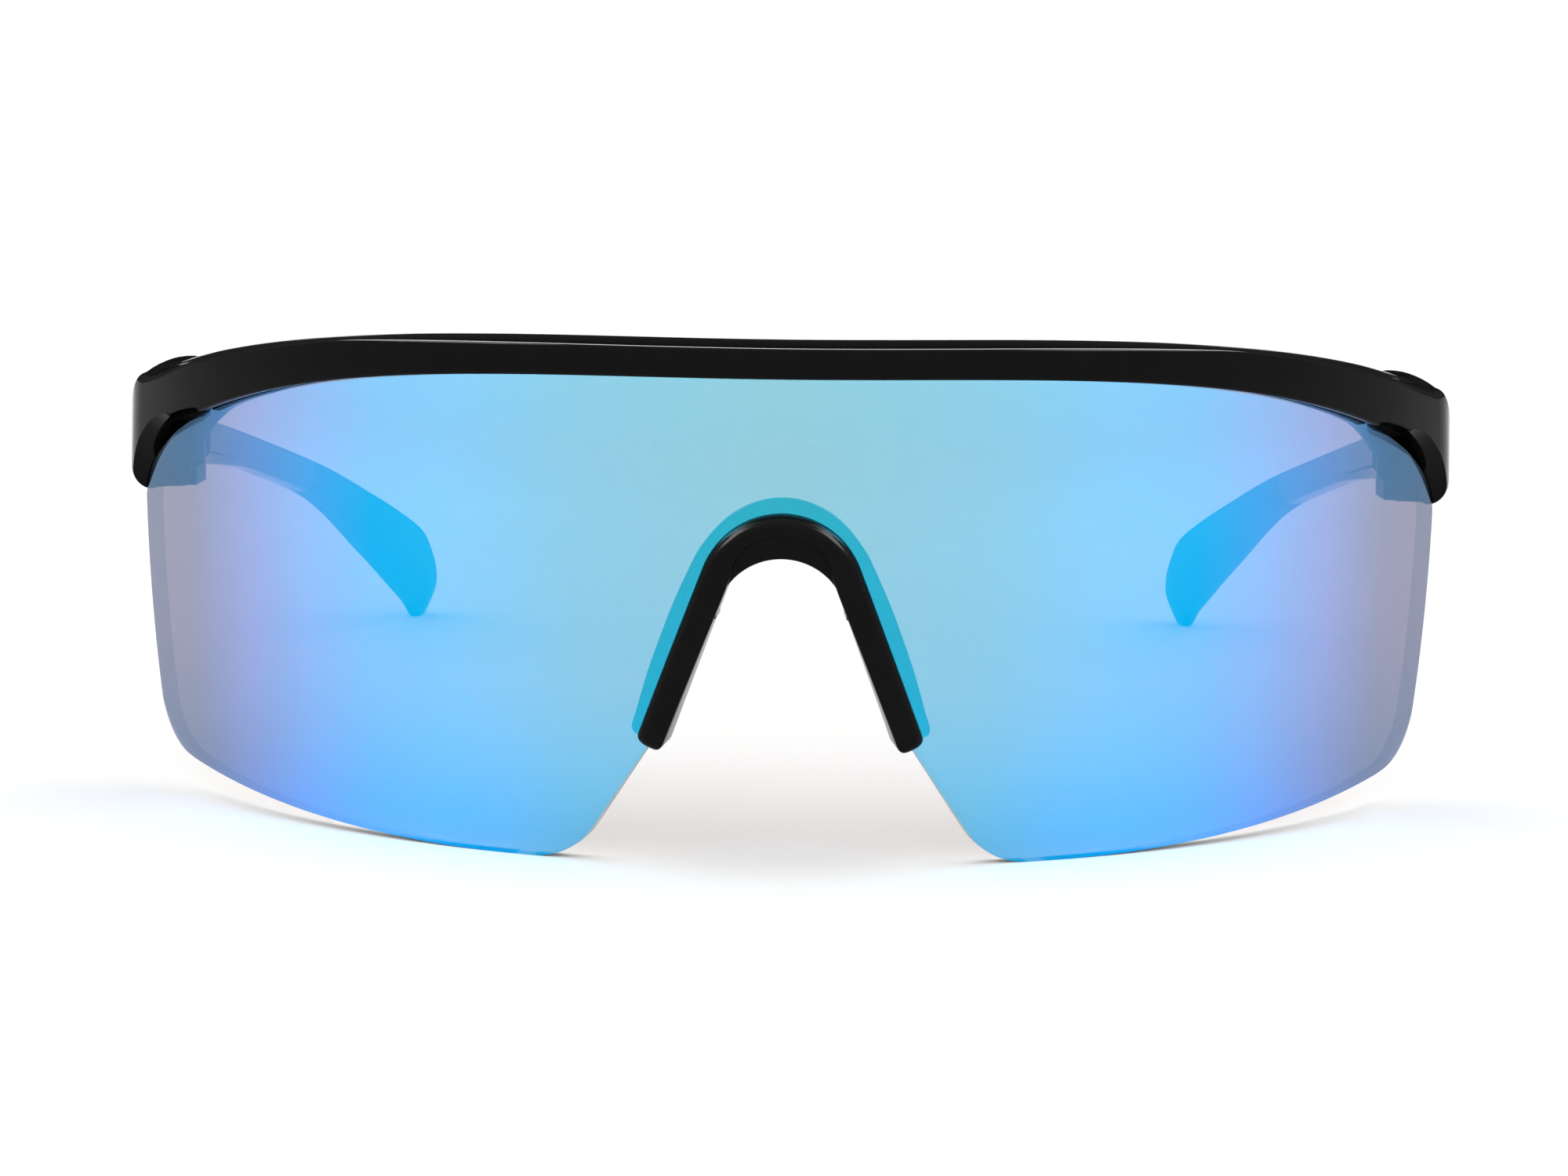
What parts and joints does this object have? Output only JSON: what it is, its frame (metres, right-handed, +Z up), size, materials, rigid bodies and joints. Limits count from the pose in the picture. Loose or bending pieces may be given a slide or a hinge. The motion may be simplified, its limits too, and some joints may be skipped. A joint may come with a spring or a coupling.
{
  "type": "wraparound sport sunglasses",
  "caption": "Wraparound sport sunglasses with a one-piece mirrored shield lens under a glossy half frame, a saddle nosepiece and folding temples with grip tips.",
  "frame": {"origin": "on the table, under the middle of the glasses' box", "axes": "+X towards the wearer's left, +Y from the lens back along the temples, +Z up"},
  "size_m": [0.1514, 0.1596, 0.0573],
  "materials": {
    "mirror_lens": "polycarbonate with a blue mirror coating, polished",
    "frame_black": "polished black nylon",
    "nosepiece_black": "black, half gloss",
    "pad_rubber": "soft black, matte",
    "temple_black": "polished black nylon",
    "tip_rubber": "soft black, satin",
    "screw_steel": "turned, plain"
  },
  "bodies": {
    "front": {"shield_lens": "mirror_lens", "brow_frame": "frame_black", "nose_bridge": "nosepiece_black", "nose_pad_left": "pad_rubber", "nose_pad_right": "pad_rubber", "hinge_screw_left": "screw_steel", "hinge_screw_right": "screw_steel"},
    "arm_left": {"temple_left": "temple_black", "temple_tip_left": "tip_rubber"},
    "arm_right": {"temple_right": "temple_black", "temple_tip_right": "tip_rubber"}
  },
  "joints": [
    {"name": "temple_left_hinge", "type": "hinge", "parent": "front", "child": "arm_left", "pos_m": [0.0699, -0.02772, 0.0385], "axis": [0, 0, 1], "range_deg": [0, 96]},
    {"name": "temple_right_hinge", "type": "hinge", "parent": "front", "child": "arm_right", "pos_m": [-0.0699, -0.02772, 0.0385], "axis": [0, 0, -1], "range_deg": [0, 84]}
  ]
}
